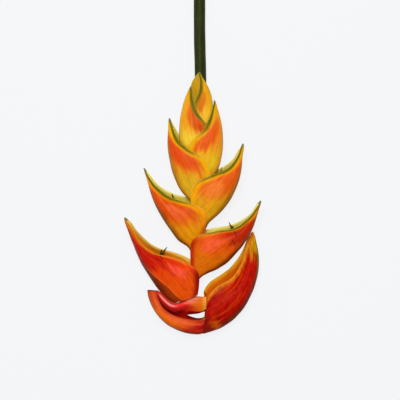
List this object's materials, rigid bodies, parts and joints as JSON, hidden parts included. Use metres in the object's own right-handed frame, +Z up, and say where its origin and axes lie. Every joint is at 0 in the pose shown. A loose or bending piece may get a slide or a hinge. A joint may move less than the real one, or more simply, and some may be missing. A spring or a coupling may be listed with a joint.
{
  "type": "hanging lobster claw flower",
  "caption": "Cut heliconia flower head lying on its side: a green stalk and folded, claw-shaped bracts set alternately along a zigzag axis.",
  "frame": {"origin": "centre of the flower's box at the level of the surface it lies on", "axes": "+Y along the flower towards the cut end of the stalk, +Z up out of the surface, +X to the right of the upper face"},
  "size_m": [0.1369, 0.3464, 0.0267],
  "materials": {
    "peduncle": "smooth stalk skin, soft sheen, faint pale flecks",
    "rachis": "smooth, waxy, orange to red",
    "bract_01": "waxy bract, fine lengthwise veins, olive margin, soft gloss",
    "bract_02": "waxy bract, fine lengthwise veins, olive margin, soft gloss",
    "bract_03": "waxy bract, fine lengthwise veins, olive margin, soft gloss",
    "bract_04": "waxy bract, fine lengthwise veins, olive margin, soft gloss",
    "bract_05": "waxy bract, fine lengthwise veins, olive margin, soft gloss",
    "bract_06": "waxy bract, fine lengthwise veins, olive margin, soft gloss",
    "bract_07": "waxy bract, fine lengthwise veins, olive margin, soft gloss",
    "bract_08": "waxy bract, fine lengthwise veins, olive margin, soft gloss",
    "bract_09": "waxy bract, fine lengthwise veins, olive margin, soft gloss",
    "bract_10": "waxy bract, fine lengthwise veins, olive margin, soft gloss",
    "flower_tip_05": "dry, dull, brown-black",
    "flower_tip_06": "dry, dull, brown-black",
    "flower_tip_07": "dry, dull, brown-black",
    "flower_tip_08": "dry, dull, brown-black"
  },
  "bodies": {
    "root": {"peduncle": "peduncle", "rachis": "rachis", "bract_01": "bract_01", "bract_02": "bract_02", "bract_03": "bract_03", "bract_04": "bract_04", "bract_05": "bract_05", "bract_06": "bract_06", "bract_07": "bract_07", "bract_08": "bract_08", "bract_09": "bract_09", "bract_10": "bract_10", "flower_tip_05": "flower_tip_05", "flower_tip_06": "flower_tip_06", "flower_tip_07": "flower_tip_07", "flower_tip_08": "flower_tip_08"}
  },
  "joints": []
}
